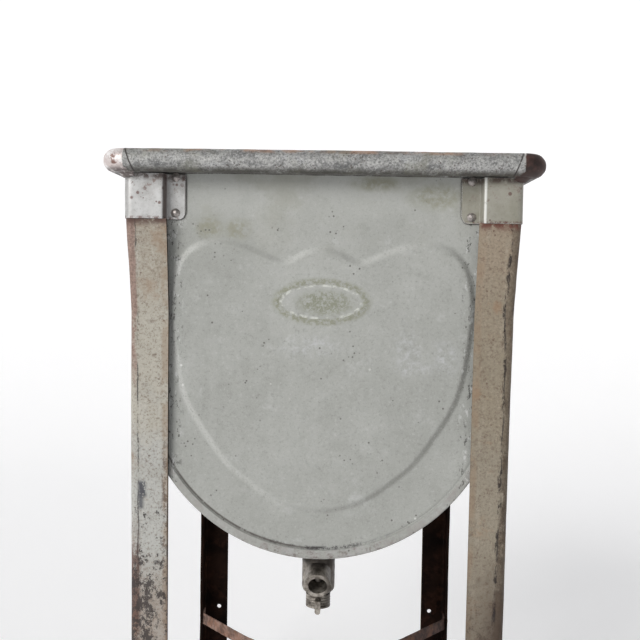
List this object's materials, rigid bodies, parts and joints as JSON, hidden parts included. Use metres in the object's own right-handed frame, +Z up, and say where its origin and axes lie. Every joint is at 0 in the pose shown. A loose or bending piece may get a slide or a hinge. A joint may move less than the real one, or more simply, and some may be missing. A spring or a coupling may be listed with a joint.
{
  "type": "half-round metal wash tank on legs",
  "caption": "Half-round sheet-metal wash tank with rolled rim, riveted corner sockets, angle-iron legs with crossed strip braces and a drain cock.",
  "frame": {"origin": "on the floor under the middle of the tank", "axes": "+Z up, Y along the tank with the drain at the -Y end, X across it"},
  "size_m": [0.4908, 0.6584, 0.881],
  "materials": {
    "galvanised_sheet": "weathered galvanised sheet, dull grey with stains, pits and white chips",
    "cast_cap": "worn plated casting, rusting",
    "rivet_steel": "dull steel",
    "pipe_steel": "plain steel pipe inside the rim",
    "painted_leg": "tan-grey paint, speckled and edged with rust",
    "rusted_strip": "rusted mild steel strip",
    "drain_brass": "tarnished, pewter-grey cast brass",
    "seal_rubber": "black rubber"
  },
  "bodies": {
    "stand": {"leg_front_left": "painted_leg", "leg_front_right": "painted_leg", "leg_rear_left": "painted_leg", "leg_rear_right": "painted_leg", "cross_brace_lower": "rusted_strip", "cross_brace_upper": "rusted_strip", "brace_leg_rivets": "rusted_strip", "brace_centre_rivet": "rusted_strip"},
    "tub": {"tub_shell": "galvanised_sheet", "front_end_panel": "galvanised_sheet", "rear_end_panel": "galvanised_sheet", "corner_cap_front_left": "cast_cap", "leg_socket_front_left": "galvanised_sheet", "socket_rivets_front_left": "rivet_steel", "corner_cap_front_right": "cast_cap", "leg_socket_front_right": "galvanised_sheet", "socket_rivets_front_right": "rivet_steel", "corner_cap_rear_left": "cast_cap", "leg_socket_rear_left": "galvanised_sheet", "socket_rivets_rear_left": "rivet_steel", "corner_cap_rear_right": "cast_cap", "leg_socket_rear_right": "galvanised_sheet", "socket_rivets_rear_right": "rivet_steel", "rim_pipe_front": "pipe_steel", "rim_pipe_rear": "pipe_steel", "rim_pipe_left": "pipe_steel", "rim_pipe_right": "pipe_steel", "drain_flange": "drain_brass", "drain_gasket": "seal_rubber", "drain_locknut": "drain_brass", "valve_body": "drain_brass"},
    "plug": {"valve_plug": "drain_brass", "valve_knob": "drain_brass", "knob_screw": "rivet_steel"}
  },
  "joints": [
    {"name": "tub_lift", "type": "slide", "parent": "stand", "child": "tub", "axis": [0, 0, 1], "range_m": [0, 0.08]},
    {"name": "valve_turn", "type": "hinge", "parent": "tub", "child": "plug", "pos_m": [0, -0.215, 0.372], "axis": [0, 0, -1], "range_deg": [0, 90]}
  ]
}
